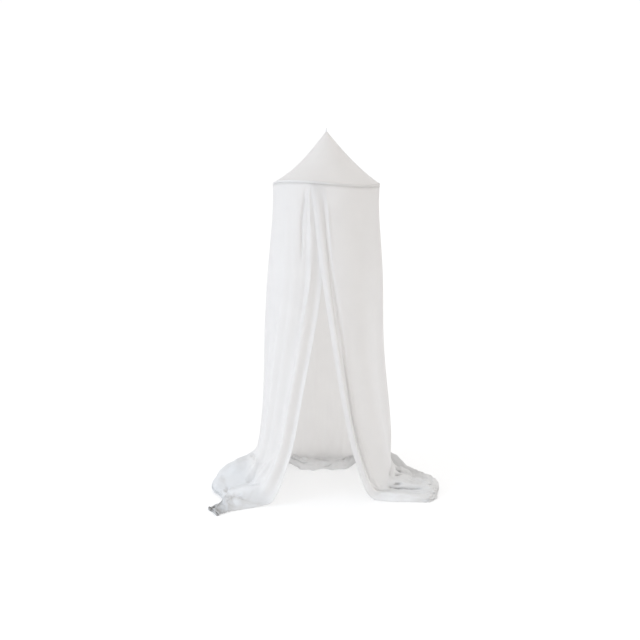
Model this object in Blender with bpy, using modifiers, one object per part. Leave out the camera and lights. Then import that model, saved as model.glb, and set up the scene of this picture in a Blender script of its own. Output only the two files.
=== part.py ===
"""Hanging bed canopy: a cloth cone over a hoop, with a long curtain that opens at the front.

The curtain is longer than the room allows, so it spreads and pools on the floor.
The origin is the point where the ceiling hook bears in the hanging loop. +Z is up and
the opening faces -Y. An azimuth is measured from the front, positive towards +X.
"""

import math

import bmesh
import bpy
import numpy as np

# Driving sizes, in metres
CLOTH = 0.002  # thickness of the cloth
SEAM_GAP = 0.0004  # between pieces that are sewn edge to edge
HOOP_HEIGHT = 1.80  # hoop above the floor
HOOP_RADIUS = 0.294  # to the middle of the hoop's rod
HOOP_ROD = 0.004  # radius of the rod
HOOP_SIDES = 64
ROOF_HEIGHT = 0.288  # tip of the cone above the hoop
HOOK_RISE = 0.020  # hook point above the tip of the cone
HOOK_TO_HOOP = ROOF_HEIGHT + HOOK_RISE
FLOOR = -HOOK_TO_HOOP - HOOP_HEIGHT

# The thin hoop is bent a little out of its plane, and the cloth levels out below it
HOOP_NOD = 0.006
HOOP_SADDLE = 0.0133
BENT_ABOVE = 1.4  # height above the floor from which the curtain follows the bend

# Roof cone
ROOF_SAG = 0.086  # how far the cone sags inwards, as a share of its height
ROOF_SAG_LEFT = 0.018  # more of it on the left, and as much less on the right
ROOF_CLEARANCE = 0.0026  # between the hoop's rod and the cloth over it
ROOF_TIP_RADIUS = 0.0046
ROOF_SIDES = 48
ROOF_RINGS = 13
ROOF_ON_ROD = (35, 15, -10)  # where the cloth bends over the rod, in degrees above level
RIM_DROP = 0.006  # the seam lies this far below the middle of the rod

# Hanging loop of tape, sewn into the tip of the roof
TAPE_WIDTH = 0.006
TAPE_THICKNESS = 0.0015
LOOP_INSIDE = 0.005  # half the width of the loop's eye
LOOP_FOOT = 0.010  # how far the tape's ends reach down inside the tip
LOOP_STEPS = 12

# Sections of the hanging curtain: height above the floor, radius at the right, back and
# left, and where the right and the left front edge are
SECTIONS = (
    # height, right, back, left, right_x, right_y, left_x, left_y
    (1.80, 0.301, 0.301, 0.301, -0.085, -0.289, 0.004, -0.301),
    (1.70, 0.294, 0.297, 0.301, -0.074, -0.298, -0.010, -0.290),
    (1.50, 0.306, 0.315, 0.316, -0.052, -0.306, -0.016, -0.292),
    (1.26, 0.319, 0.335, 0.336, -0.019, -0.304, -0.022, -0.290),
    (0.95, 0.320, 0.352, 0.354, 0.028, -0.288, -0.072, -0.288),
    (0.65, 0.341, 0.366, 0.364, 0.076, -0.262, -0.128, -0.287),
    (0.40, 0.368, 0.380, 0.385, 0.124, -0.240, -0.172, -0.284),
    (0.20, 0.390, 0.392, 0.415, 0.175, -0.222, -0.222, -0.282),
    (0.00, 0.400, 0.400, 0.440, 0.235, -0.205, -0.290, -0.280),
)

# How the curtain meets the floor and runs out over it, along its width from the right
# front edge (share 0) to the left one (share 1). It leaves the wall at one height, is
# puffed up to a shoulder, and comes down from its lip at its reach. A tuck is a roll
# towards the inside, before the cloth runs out.
POOL = (
    # share, azimuth of the run, turn of the run, leaves at, shoulder, lip, reach, tuck
    (0.000, 83.0, 5.0, 0.012, 0.003, 0.003, 0.325, 0.000),
    (0.020, 88.0, 2.0, 0.050, 0.046, 0.014, 0.330, 0.000),
    (0.038, 93.0, 0.0, 0.050, 0.036, 0.024, 0.338, 0.000),
    (0.060, 94.0, 0.0, 0.085, 0.058, 0.030, 0.336, 0.000),
    (0.110, 93.0, 0.0, 0.125, 0.076, 0.036, 0.315, 0.000),
    (0.170, 92.0, 0.0, 0.145, 0.076, 0.038, 0.285, 0.000),
    (0.210, 94.0, 0.0, 0.130, 0.052, 0.034, 0.265, 0.000),
    (0.245, 102.0, 0.0, 0.130, 0.052, 0.030, 0.230, 0.000),
    (0.285, 116.0, 0.0, 0.170, 0.142, 0.060, 0.185, 0.000),
    (0.330, 140.0, 0.0, 0.160, 0.100, 0.040, 0.220, 0.000),
    (0.380, 158.0, 0.0, 0.085, 0.050, 0.028, 0.280, 0.020),
    (0.430, 167.0, 0.0, 0.085, 0.044, 0.012, 0.300, 0.050),
    (0.465, 174.0, 0.0, 0.080, 0.056, 0.012, 0.270, 0.075),
    (0.500, 180.0, 0.0, 0.070, 0.036, 0.012, 0.300, 0.058),
    (0.540, 186.0, 0.0, 0.085, 0.056, 0.012, 0.265, 0.078),
    (0.580, 193.0, 0.0, 0.085, 0.044, 0.012, 0.300, 0.050),
    (0.630, 199.0, 0.0, 0.095, 0.050, 0.028, 0.280, 0.020),
    (0.680, 218.0, 0.0, 0.140, 0.085, 0.035, 0.240, 0.000),
    (0.730, 244.0, 0.0, 0.180, 0.105, 0.040, 0.220, 0.000),
    (0.780, 258.0, 0.0, 0.205, 0.130, 0.050, 0.235, 0.000),
    (0.830, 267.0, 0.0, 0.200, 0.142, 0.055, 0.240, 0.000),
    (0.870, 269.0, 0.0, 0.165, 0.112, 0.046, 0.245, 0.000),
    (0.905, 270.0, 0.0, 0.120, 0.068, 0.034, 0.228, 0.000),
    (0.935, 270.0, 6.0, 0.115, 0.086, 0.040, 0.228, 0.000),
    (0.960, 270.0, 16.0, 0.080, 0.056, 0.030, 0.272, 0.000),
    (0.980, 270.0, 22.0, 0.040, 0.024, 0.014, 0.335, 0.000),
    (1.000, 272.0, 34.0, 0.012, 0.003, 0.004, 0.335, 0.000),
)

# Control points of a run that is puffed up, as shares of the run's own sizes
PUFFED = (
    # out: reach, taken back where turned under; up: leaves at, shoulder, lip
    (0.00, 0.00, 1.00, 0.00, 0.00),
    (0.18, 0.00, 0.55, 0.45, 0.00),
    (0.45, 0.00, 0.00, 1.00, 0.00),
    (0.75, 0.00, 0.00, 0.62, 0.38),
    (0.97, 0.00, 0.00, 0.00, 1.00),
    (1.07, 0.04, 0.00, 0.00, 0.40),
    (1.12, 0.19, 0.00, 0.00, 0.00),
)
# Control points of a run with a full tuck
TUCKED = (
    # out: reach, tuck; up: leaves at, shoulder
    (0.00, 0.00, 1.00, 0.00),
    (0.00, -0.45, 0.80, 0.00),
    (0.00, -1.40, 0.80, 0.00),
    (0.00, -1.40, 0.00, 0.00),
    (0.00, -0.30, 0.00, 0.00),
    (0.45, 0.00, 0.00, 1.30),
    (1.05, 0.00, 0.00, 0.00),
)
LOW_LIP, HIGH_LIP = 0.020, 0.034  # a lip this low ends flat, one this high is turned under
FULL_TUCK = 0.045

# Folds that run down the curtain: where their middle lies on its width at the hoop and
# at the hem, half width, and how far they stand out (or in) at the hoop and at the hem
FOLDS = (
    # share_top, share_hem, half_width, out_top, out_hem
    (0.013, 0.013, 0.028, 0.005, 0.020),
    (0.029, 0.032, 0.024, -0.004, -0.022),
    (0.105, 0.100, 0.110, 0.002, 0.014),
    (0.185, 0.180, 0.090, -0.001, -0.014),
    (0.255, 0.235, 0.085, 0.002, 0.020),
    (0.325, 0.300, 0.080, -0.002, -0.018),
    (0.385, 0.365, 0.075, 0.003, 0.022),
    (0.440, 0.430, 0.065, -0.003, -0.020),
    (0.495, 0.495, 0.060, 0.003, 0.018),
    (0.545, 0.550, 0.060, -0.003, -0.020),
    (0.600, 0.615, 0.075, 0.003, 0.024),
    (0.665, 0.685, 0.080, -0.002, -0.016),
    (0.735, 0.750, 0.085, 0.002, 0.020),
    (0.800, 0.810, 0.080, -0.001, -0.012),
    (0.848, 0.852, 0.050, 0.001, -0.016),
    (0.880, 0.888, 0.045, 0.003, 0.022),
    (0.936, 0.932, 0.050, -0.006, -0.014),
    (0.962, 0.965, 0.034, 0.008, 0.022),
    (0.984, 0.985, 0.026, -0.003, -0.010),
)

CURTAIN_WIDTH = 2.0  # turns the folds' widths into shares of the curtain's width

# How folds grow with the share of the way down from the hoop
FOLDS_FREE = 0.07  # the seam at the hoop holds them flat above this
FOLDS_FULL = 0.85

# Where the front edges overlap, each layer lies this far from the middle
LAP_TOP = 0.0013
LAP_BELOW = 0.0075
LAP_OPEN = 0.2  # share of the way down where the layers are fully apart
LAP_ENDS = (0.5, 0.7)  # share of the way down over which the overlap ends
LAP_FADES = (0.03, 0.12)  # share of the width over which a layer joins the rest

# Pleats that lie on the floor: middle on the curtain's width, half width and height
PLEATS = (
    # share, half_width, height
    (0.080, 0.040, 0.010),
    (0.118, 0.036, 0.014),
    (0.150, 0.034, 0.012),
    (0.185, 0.038, 0.014),
    (0.218, 0.034, 0.010),
    (0.335, 0.060, 0.018),
    (0.395, 0.050, 0.014),
    (0.600, 0.050, 0.014),
    (0.665, 0.060, 0.018),
    (0.725, 0.055, 0.016),
    (0.790, 0.050, 0.014),
    (0.850, 0.045, 0.012),
)

# Heights above the floor at which the hanging curtain is shaped
WALL_HEIGHTS = (1.80, 1.70, 1.60, 1.50, 1.38, 1.26, 1.10, 0.95, 0.80, 0.65, 0.52, 0.40, 0.29)

FLAT_CLOTH = 0.012  # pleats fade out where the cloth lies lower than this

# Mesh steps of the curtain
COLUMNS = 72
EDGE_BAND = 0.07  # share of the width next to each front edge with closer columns
EDGE_COLUMNS = 9
ROWS_PER_WALL_STEP = 1
ROWS_PER_RUN_STEP = 3
WALL_ROWS = ROWS_PER_WALL_STEP * len(WALL_HEIGHTS)
POOLED_ROWS = (WALL_ROWS - 1, WALL_ROWS + 5)  # folds of the wall turn into pleats here
ROW_STEPS = (ROWS_PER_WALL_STEP,) * len(WALL_HEIGHTS) + (ROWS_PER_RUN_STEP,) * (len(PUFFED) - 1)

COLOURS = {
    # name: base colour, roughness, metallic
    "cotton": ((0.86, 0.86, 0.87), 0.9, 0.0),
    "rod": ((0.80, 0.80, 0.80), 0.5, 0.0),
}


def clear_scene():
    for old in list(bpy.data.objects):
        bpy.data.objects.remove(old)


def material(name):
    """One Principled material for each entry of COLOURS."""
    found = bpy.data.materials.get(name)
    if found:
        return found
    colour, roughness, metallic = COLOURS[name]
    made = bpy.data.materials.new(name)
    made.use_nodes = True
    shader = made.node_tree.nodes["Principled BSDF"]
    shader.inputs["Base Color"].default_value = (*colour, 1)
    shader.inputs["Roughness"].default_value = roughness
    shader.inputs["Metallic"].default_value = metallic
    return made


def smooth_step(value, start, end):
    """0 before start, 1 after end, and a soft ramp between them."""
    t = np.clip((value - start) / (end - start), 0, 1)
    return t * t * (3 - 2 * t)


def curve_through(xs, ys, at):
    """A smooth curve through the points that never overshoots them, read at the values asked for."""
    xs, ys = np.asarray(xs, float), np.asarray(ys, float)
    slopes = np.diff(ys) / np.diff(xs)
    tangents = np.concatenate([slopes[:1], (slopes[1:] + slopes[:-1]) / 2, slopes[-1:]])
    tangents[1:-1][slopes[1:] * slopes[:-1] <= 0] = 0
    limit = 3 * np.minimum(
        np.abs(np.concatenate([slopes[:1], slopes])),
        np.abs(np.concatenate([slopes, slopes[-1:]])),
    )
    tangents = np.clip(tangents, -limit, limit)
    at = np.clip(at, xs[0], xs[-1])
    i = np.clip(np.searchsorted(xs, at, side="right") - 1, 0, len(xs) - 2)
    step = xs[i + 1] - xs[i]
    t = (at - xs[i]) / step
    return (
        ys[i] * (1 + 2 * t) * (1 - t) ** 2
        + ys[i + 1] * t * t * (3 - 2 * t)
        + tangents[i] * step * t * (1 - t) ** 2
        - tangents[i + 1] * step * t * t * (1 - t)
    )


def column_of(table, number, at):
    """One named column of a table, read smoothly along its first column."""
    rows = sorted(table)
    return curve_through([r[0] for r in rows], [r[number] for r in rows], at)


def hoop_level(azimuth):
    """How far the bent hoop lies above its mean plane."""
    return HOOP_NOD * math.cos(azimuth) - HOOP_SADDLE * math.sin(2 * azimuth)


def wall_point(share, height):
    """The hanging curtain before its folds, as azimuth and radius, at a share of its width."""
    right, back, left = (float(column_of(SECTIONS, k, height)) for k in (1, 2, 3))
    edge_right = [float(column_of(SECTIONS, k, height)) for k in (4, 5)]
    edge_left = [float(column_of(SECTIONS, k, height)) for k in (6, 7)]
    first = math.atan2(edge_right[0], -edge_right[1])
    last = math.atan2(edge_left[0], -edge_left[1]) + math.tau
    azimuth = first + share * (last - first)
    radius = curve_through(
        [first, math.pi / 2, math.pi, 3 * math.pi / 2, last],
        [math.hypot(*edge_right), right, back, left, math.hypot(*edge_left)],
        azimuth,
    )
    return azimuth, float(radius)


def run_polygon(share):
    """Control points of the cloth past the wall: how far out along the run, and how high."""
    leave, shoulder, lip, reach, tuck = (float(column_of(POOL, k, share)) for k in (3, 4, 5, 6, 7))
    turned_under = float(smooth_step(lip, LOW_LIP, HIGH_LIP))
    tucked = float(smooth_step(tuck, 0.0, FULL_TUCK))
    points = []
    for puff, roll in zip(PUFFED, TUCKED):
        out_puff = (puff[0] - puff[1] * turned_under) * reach
        high_puff = puff[2] * leave + puff[3] * shoulder + puff[4] * lip
        out_roll = roll[0] * reach + roll[1] * tuck
        high_roll = roll[2] * leave + roll[3] * shoulder
        out = out_puff * (1 - tucked) + out_roll * tucked
        high = high_puff * (1 - tucked) + high_roll * tucked
        points.append((out, max(high, CLOTH / 2)))
    return points


def b_spline(points, steps):
    """Points on a cubic B-spline that starts and ends at the control points' own ends.

    steps holds how many points are read on each span between two control points.
    """
    p = np.asarray(points, float)
    p = np.vstack([2 * p[0] - p[1], p, 2 * p[-1] - p[-2]])
    read = []
    for i, count in enumerate(steps):
        t = np.linspace(0, 1, count, endpoint=False)[:, None]
        read.append((
            (1 - t) ** 3 * p[i]
            + (3 * t**3 - 6 * t**2 + 4) * p[i + 1]
            + (-3 * t**3 + 3 * t**2 + 3 * t + 1) * p[i + 2]
            + t**3 * p[i + 3]
        ) / 6)
    return np.vstack([*read, p[-2:-1]])


def meridian(share):
    """One line of cloth from the hoop to the hem, before its folds."""
    control = []
    for height in WALL_HEIGHTS:
        azimuth, radius = wall_point(share, height)
        level = height + hoop_level(azimuth) * float(smooth_step(height, BENT_ABOVE, HOOP_HEIGHT))
        if height == HOOP_HEIGHT:
            level -= RIM_DROP + SEAM_GAP
        control.append((radius * math.sin(azimuth), -radius * math.cos(azimuth), level))
    azimuth, radius = wall_point(share, 0.0)
    run, turn, reach = (float(column_of(POOL, k, share)) for k in (1, 2, 6))
    x, y = radius * math.sin(azimuth), -radius * math.cos(azimuth)
    past = 0.0
    for out, high in run_polygon(share):
        heading = math.radians(run + turn * max(out, past) / reach)
        x += (out - past) * math.sin(heading)
        y -= (out - past) * math.cos(heading)
        past = out
        control.append((x, y, high))
    return b_spline(control, ROW_STEPS)


def bump(distance, half_width):
    """A soft ridge that is 1 in its middle and 0 from half_width on."""
    return np.where(np.abs(distance) < half_width, (1 + np.cos(np.pi * distance / half_width)) / 2, 0)


def shares_across():
    """Where the columns of the curtain's mesh lie on its width, closer at the front edges."""
    edge = np.linspace(0, EDGE_BAND, EDGE_COLUMNS, endpoint=False)
    middle = np.linspace(EDGE_BAND, 1 - EDGE_BAND, COLUMNS - 2 * EDGE_COLUMNS)
    return np.concatenate([edge, middle, 1 - edge[::-1]])


def curtain_points():
    """The grid of the curtain: points[row][column]."""
    shares = shares_across()
    grid = np.stack([meridian(share) for share in shares], axis=1)
    down = np.clip(1 - grid[..., 2] / HOOP_HEIGHT, 0, 1)
    pooled = smooth_step(np.arange(len(grid)), *POOLED_ROWS)[:, None]
    # The folds of the hanging part stand out sideways, and fade where the cloth lies down
    offset = np.zeros(down.shape)
    for top, hem, half_width, out_top, out_hem in FOLDS:
        middle = top + (hem - top) * down
        depth = out_top + (out_hem - out_top) * smooth_step(down, 0.0, FOLDS_FULL)
        depth = depth * smooth_step(down, 0.0, FOLDS_FREE)
        offset += depth * bump((shares - middle) * CURTAIN_WIDTH, half_width)
    azimuths = np.arctan2(grid[..., 0], -grid[..., 1])
    outwards = np.stack([np.sin(azimuths), -np.cos(azimuths), np.zeros_like(azimuths)], axis=-1)
    # Where the front edges overlap, the right one lies outside
    lap = LAP_TOP + (LAP_BELOW - LAP_TOP) * smooth_step(down, 0.0, LAP_OPEN)
    lap = lap * (1 - smooth_step(down, *LAP_ENDS))
    side = smooth_step(1 - shares, *LAP_FADES) - smooth_step(shares, *LAP_FADES)
    grid += outwards * (offset * (1 - pooled) + lap * side)[..., None]
    # Pleats on the floor only stand up from it
    lift = np.zeros(len(shares))
    for share, half_width, height in PLEATS:
        lift += height * bump((shares - share) * CURTAIN_WIDTH, half_width)
    grid[..., 2] += lift * pooled * smooth_step(grid[..., 2], CLOTH / 2, FLAT_CLOTH)
    grid[..., 2] = np.maximum(grid[..., 2], CLOTH / 2) + FLOOR
    return grid


def sheet(name, points, closed, collection):
    """A sheet of cloth through a grid of points, made solid by its thickness."""
    rows, columns = points.shape[:2]
    mesh = bmesh.new()
    verts = [[mesh.verts.new(p) for p in row] for row in points]
    for i in range(rows - 1):
        for j in range(columns if closed else columns - 1):
            k = (j + 1) % columns
            mesh.faces.new((verts[i][j], verts[i + 1][j], verts[i + 1][k], verts[i][k]))
    data = bpy.data.meshes.new(name)
    mesh.to_mesh(data)
    mesh.free()
    data.materials.append(material("cotton"))
    data.shade_smooth()
    made = bpy.data.objects.new(name, data)
    collection.objects.link(made)
    solid = made.modifiers.new("thickness", "SOLIDIFY")
    solid.thickness = CLOTH
    solid.offset = 0
    return made


def build_curtain(collection):
    return sheet("curtain", curtain_points(), False, collection)


def roof_profile(azimuth):
    """Radius and height above the hoop of the roof cloth, from its tip to its rim, at an azimuth."""
    sag = ROOF_SAG - ROOF_SAG_LEFT * math.sin(azimuth)
    over = HOOP_ROD + ROOF_CLEARANCE + CLOTH / 2
    outside = HOOP_RADIUS + over
    profile = []
    for i in range(ROOF_RINGS):
        x = i / ROOF_RINGS
        high = ROOF_HEIGHT * (1 - x - sag * math.sin(math.pi * x))
        profile.append((ROOF_TIP_RADIUS + (outside - ROOF_TIP_RADIUS) * x, high))
    for degrees in ROOF_ON_ROD:
        turn = math.radians(degrees)
        profile.append((HOOP_RADIUS + over * math.cos(turn), over * math.sin(turn)))
    profile.append((outside, -RIM_DROP))
    return profile


def build_roof(collection):
    """The cone of cloth, turned about the hanging axis and bent with the hoop."""
    columns = []
    for j in range(ROOF_SIDES):
        azimuth = math.tau * j / ROOF_SIDES
        column = []
        for radius, high in roof_profile(azimuth):
            bend = hoop_level(azimuth) * min(1, radius / HOOP_RADIUS) ** 2
            level = high + bend - HOOK_TO_HOOP
            column.append((radius * math.sin(azimuth), -radius * math.cos(azimuth), level))
        columns.append(column)
    return sheet("roof", np.array(columns).swapaxes(0, 1), True, collection)


def loop_outline(inset):
    """The loop's outline around its eye, or the eye itself, as half circle over a point."""
    top = TAPE_THICKNESS - inset
    width = LOOP_INSIDE + TAPE_THICKNESS - inset
    foot = -HOOK_RISE - LOOP_FOOT if inset == 0 else -HOOK_RISE + TAPE_THICKNESS
    narrow = TAPE_THICKNESS if inset == 0 else 0.0
    points = []
    for i in range(LOOP_STEPS + 1):
        turn = math.pi * i / LOOP_STEPS
        points.append((width * math.cos(turn), top - width + width * math.sin(turn)))
    if inset:
        return points + [(0.0, foot)]
    return points + [(-narrow, -HOOK_RISE), (-narrow, foot), (narrow, foot), (narrow, -HOOK_RISE)]


def build_loop(collection):
    """A loop of narrow tape whose plane runs from front to back."""
    data = bpy.data.curves.new("hanging_loop", "CURVE")
    data.dimensions = "2D"
    data.fill_mode = "BOTH"
    data.extrude = TAPE_WIDTH / 2
    for inset in (0.0, TAPE_THICKNESS):
        points = loop_outline(inset)
        spline = data.splines.new("POLY")
        spline.points.add(len(points) - 1)
        for point, (across, up) in zip(spline.points, points):
            point.co = (across, up, 0, 1)
        spline.use_cyclic_u = True
    data.materials.append(material("cotton"))
    made = bpy.data.objects.new("hanging_loop", data)
    made.rotation_euler = (math.pi / 2, 0, math.pi / 2)
    collection.objects.link(made)
    return made


def build_hoop(collection):
    """The round rod inside the roof's rim."""
    data = bpy.data.curves.new("hoop", "CURVE")
    data.dimensions = "3D"
    data.bevel_depth = HOOP_ROD
    data.bevel_resolution = 2
    spline = data.splines.new("POLY")
    spline.points.add(HOOP_SIDES - 1)
    for i, point in enumerate(spline.points):
        azimuth = math.tau * i / HOOP_SIDES
        level = hoop_level(azimuth) - HOOK_TO_HOOP
        point.co = (HOOP_RADIUS * math.sin(azimuth), -HOOP_RADIUS * math.cos(azimuth), level, 1)
    spline.use_cyclic_u = True
    data.materials.append(material("rod"))
    made = bpy.data.objects.new("hoop", data)
    collection.objects.link(made)
    return made


def main():
    clear_scene()
    collection = bpy.data.collections.new("bed_canopy")
    bpy.context.scene.collection.children.link(collection)
    build_roof(collection)
    build_hoop(collection)
    build_loop(collection)
    build_curtain(collection)


main()
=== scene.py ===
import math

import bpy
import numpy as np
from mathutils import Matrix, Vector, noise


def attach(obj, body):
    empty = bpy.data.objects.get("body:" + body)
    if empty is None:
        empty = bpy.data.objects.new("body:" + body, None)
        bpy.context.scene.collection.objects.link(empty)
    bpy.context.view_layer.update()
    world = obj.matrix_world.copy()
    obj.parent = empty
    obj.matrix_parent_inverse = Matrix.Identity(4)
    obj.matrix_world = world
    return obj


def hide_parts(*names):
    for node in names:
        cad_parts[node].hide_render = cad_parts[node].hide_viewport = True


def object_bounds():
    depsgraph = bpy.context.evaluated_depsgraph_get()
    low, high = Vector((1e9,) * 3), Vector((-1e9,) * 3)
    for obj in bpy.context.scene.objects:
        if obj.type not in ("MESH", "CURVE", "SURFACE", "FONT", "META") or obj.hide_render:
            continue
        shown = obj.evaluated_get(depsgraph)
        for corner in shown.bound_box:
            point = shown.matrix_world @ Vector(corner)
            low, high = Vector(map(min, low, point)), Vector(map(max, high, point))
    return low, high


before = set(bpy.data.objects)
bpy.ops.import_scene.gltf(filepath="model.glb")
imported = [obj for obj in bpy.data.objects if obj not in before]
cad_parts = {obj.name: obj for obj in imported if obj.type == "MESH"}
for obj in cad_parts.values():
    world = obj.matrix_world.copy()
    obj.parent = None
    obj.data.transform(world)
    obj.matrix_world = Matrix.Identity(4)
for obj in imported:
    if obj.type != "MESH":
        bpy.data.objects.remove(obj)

# Looks of a hanging bed canopy: a cotton voile cone over a hoop and a long voile curtain
# that opens at the front and pools on the floor. Metres; the origin is the hook point,
# +Z is up and the opening faces -Y. An azimuth is measured from the front towards +X.

CAD_BOX = [list(corner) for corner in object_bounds()]
FLOOR = CAD_BOX[0][2]

# ---------------------------------------------------------------- sizes shared with the CAD
CLOTH = 0.002  # thickness of the CAD cloth, whose middle the fine cloth follows
HOOP_HEIGHT = 1.80  # above the floor
HOOP_RADIUS = 0.294  # out to the middle of the rod
HOOP_ROD = 0.004  # radius of the rod
HOOP_NOD = 0.006  # how far the bent hoop rises at the front and falls at the back
HOOP_SADDLE = 0.0133  # how far it rises and falls in turn between front, sides and back
BENT_ABOVE = 1.4  # height from which the curtain takes on the hoop's bend
ROOF_HEIGHT = 0.288  # from the hoop to the tip of the cone
HOOK_RISE = 0.020  # from that tip to the hook point
HOOK_TO_HOOP = ROOF_HEIGHT + HOOK_RISE
ROOF_SAG = 0.086  # how far the cone's slope sags, as a share of the cone's height
ROOF_SAG_LEFT = 0.018  # how much more it sags at the left, and less at the right
ROOF_CLEARANCE = 0.0026  # between the rod and the CAD roof
ROOF_TIP_RADIUS = 0.0046
RIM_DROP = 0.006  # how far the CAD roof's rim reaches below the middle of the rod
SEAM_GAP = 0.0004  # between that rim and the curtain's top edge

# Sections of the hanging curtain: height above the floor, radius at the right, back and
# left, and where the right and the left front edge are
SECTIONS = (
    # height, right, back, left, right_x, right_y, left_x, left_y
    (1.80, 0.301, 0.301, 0.301, -0.085, -0.289, 0.004, -0.301),
    (1.70, 0.294, 0.297, 0.301, -0.074, -0.298, -0.010, -0.290),
    (1.50, 0.306, 0.315, 0.316, -0.052, -0.306, -0.016, -0.292),
    (1.26, 0.319, 0.335, 0.336, -0.019, -0.304, -0.022, -0.290),
    (0.95, 0.320, 0.352, 0.354, 0.028, -0.288, -0.072, -0.288),
    (0.65, 0.341, 0.366, 0.364, 0.076, -0.262, -0.128, -0.287),
    (0.40, 0.368, 0.380, 0.385, 0.124, -0.240, -0.172, -0.284),
    (0.20, 0.390, 0.392, 0.415, 0.175, -0.222, -0.222, -0.282),
    (0.00, 0.400, 0.400, 0.440, 0.235, -0.205, -0.290, -0.280),
)

# How the curtain meets the floor and runs out over it, along its width from the right
# front edge (share 0) to the left one (share 1)
POOL = (
    # share, azimuth of the run, turn of the run, leaves at, shoulder, lip, reach, tuck
    (0.000, 83.0, 5.0, 0.012, 0.003, 0.003, 0.325, 0.000),
    (0.020, 88.0, 2.0, 0.050, 0.046, 0.014, 0.330, 0.000),
    (0.038, 93.0, 0.0, 0.050, 0.036, 0.024, 0.338, 0.000),
    (0.060, 94.0, 0.0, 0.085, 0.058, 0.030, 0.336, 0.000),
    (0.110, 93.0, 0.0, 0.125, 0.076, 0.036, 0.315, 0.000),
    (0.170, 92.0, 0.0, 0.145, 0.076, 0.038, 0.285, 0.000),
    (0.210, 94.0, 0.0, 0.130, 0.052, 0.034, 0.265, 0.000),
    (0.245, 102.0, 0.0, 0.130, 0.052, 0.030, 0.230, 0.000),
    (0.285, 116.0, 0.0, 0.170, 0.142, 0.060, 0.185, 0.000),
    (0.330, 140.0, 0.0, 0.160, 0.100, 0.040, 0.220, 0.000),
    (0.380, 158.0, 0.0, 0.085, 0.050, 0.028, 0.280, 0.020),
    (0.430, 167.0, 0.0, 0.085, 0.044, 0.012, 0.300, 0.050),
    (0.465, 174.0, 0.0, 0.080, 0.056, 0.012, 0.270, 0.075),
    (0.500, 180.0, 0.0, 0.070, 0.036, 0.012, 0.300, 0.058),
    (0.540, 186.0, 0.0, 0.085, 0.056, 0.012, 0.265, 0.078),
    (0.580, 193.0, 0.0, 0.085, 0.044, 0.012, 0.300, 0.050),
    (0.630, 199.0, 0.0, 0.095, 0.050, 0.028, 0.280, 0.020),
    (0.680, 218.0, 0.0, 0.140, 0.085, 0.035, 0.240, 0.000),
    (0.730, 244.0, 0.0, 0.180, 0.105, 0.040, 0.220, 0.000),
    (0.780, 258.0, 0.0, 0.205, 0.130, 0.050, 0.235, 0.000),
    (0.830, 267.0, 0.0, 0.200, 0.142, 0.055, 0.240, 0.000),
    (0.870, 269.0, 0.0, 0.165, 0.112, 0.046, 0.245, 0.000),
    (0.905, 270.0, 0.0, 0.120, 0.068, 0.034, 0.228, 0.000),
    (0.935, 270.0, 6.0, 0.115, 0.086, 0.040, 0.228, 0.000),
    (0.960, 270.0, 16.0, 0.080, 0.056, 0.030, 0.272, 0.000),
    (0.980, 270.0, 22.0, 0.040, 0.024, 0.014, 0.335, 0.000),
    (1.000, 272.0, 34.0, 0.012, 0.003, 0.004, 0.335, 0.000),
)

# Control points of a run that is puffed up, as shares of the run's own sizes
PUFFED = (
    # out: reach, taken back where turned under; up: leaves at, shoulder, lip
    (0.00, 0.00, 1.00, 0.00, 0.00),
    (0.18, 0.00, 0.55, 0.45, 0.00),
    (0.45, 0.00, 0.00, 1.00, 0.00),
    (0.75, 0.00, 0.00, 0.62, 0.38),
    (0.97, 0.00, 0.00, 0.00, 1.00),
    (1.07, 0.04, 0.00, 0.00, 0.40),
    (1.12, 0.19, 0.00, 0.00, 0.00),
)
# Control points of a run with a full tuck
TUCKED = (
    # out: reach, tuck; up: leaves at, shoulder
    (0.00, 0.00, 1.00, 0.00),
    (0.00, -0.45, 0.80, 0.00),
    (0.00, -1.40, 0.80, 0.00),
    (0.00, -1.40, 0.00, 0.00),
    (0.00, -0.30, 0.00, 0.00),
    (0.45, 0.00, 0.00, 1.30),
    (1.05, 0.00, 0.00, 0.00),
)
LOW_LIP, HIGH_LIP = 0.020, 0.034  # a run is turned under from the first lip, wholly from the second
FULL_TUCK = 0.045  # tuck from which a run has the tucked form

# Folds that run down the curtain: where their middle lies on its width at the hoop and
# at the hem, half width, and how far they stand out (or in) at the hoop and at the hem
FOLDS = (
    # share_top, share_hem, half_width, out_top, out_hem
    (0.013, 0.013, 0.028, 0.005, 0.020),
    (0.029, 0.032, 0.024, -0.004, -0.022),
    (0.105, 0.100, 0.110, 0.002, 0.014),
    (0.185, 0.180, 0.090, -0.001, -0.014),
    (0.255, 0.235, 0.085, 0.002, 0.020),
    (0.325, 0.300, 0.080, -0.002, -0.018),
    (0.385, 0.365, 0.075, 0.003, 0.022),
    (0.440, 0.430, 0.065, -0.003, -0.020),
    (0.495, 0.495, 0.060, 0.003, 0.018),
    (0.545, 0.550, 0.060, -0.003, -0.020),
    (0.600, 0.615, 0.075, 0.003, 0.024),
    (0.665, 0.685, 0.080, -0.002, -0.016),
    (0.735, 0.750, 0.085, 0.002, 0.020),
    (0.800, 0.810, 0.080, -0.001, -0.012),
    (0.848, 0.852, 0.050, 0.001, -0.016),
    (0.880, 0.888, 0.045, 0.003, 0.022),
    (0.936, 0.932, 0.050, -0.006, -0.014),
    (0.962, 0.965, 0.034, 0.008, 0.022),
    (0.984, 0.985, 0.026, -0.003, -0.010),
)

CURTAIN_WIDTH = 2.0  # turns the folds' widths into shares of the curtain's width
# Shares of the way down from the hoop to the floor
FOLDS_FREE = 0.07  # by here the folds are free of the hoop, which holds them flat
FOLDS_FULL = 0.85  # by here they stand out as at the hem
LAP_OPEN = 0.2  # by here the lapping edges are wholly moved apart
LAP_ENDS = (0.5, 0.7)  # over these they come back, as the curtain is open there
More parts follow.
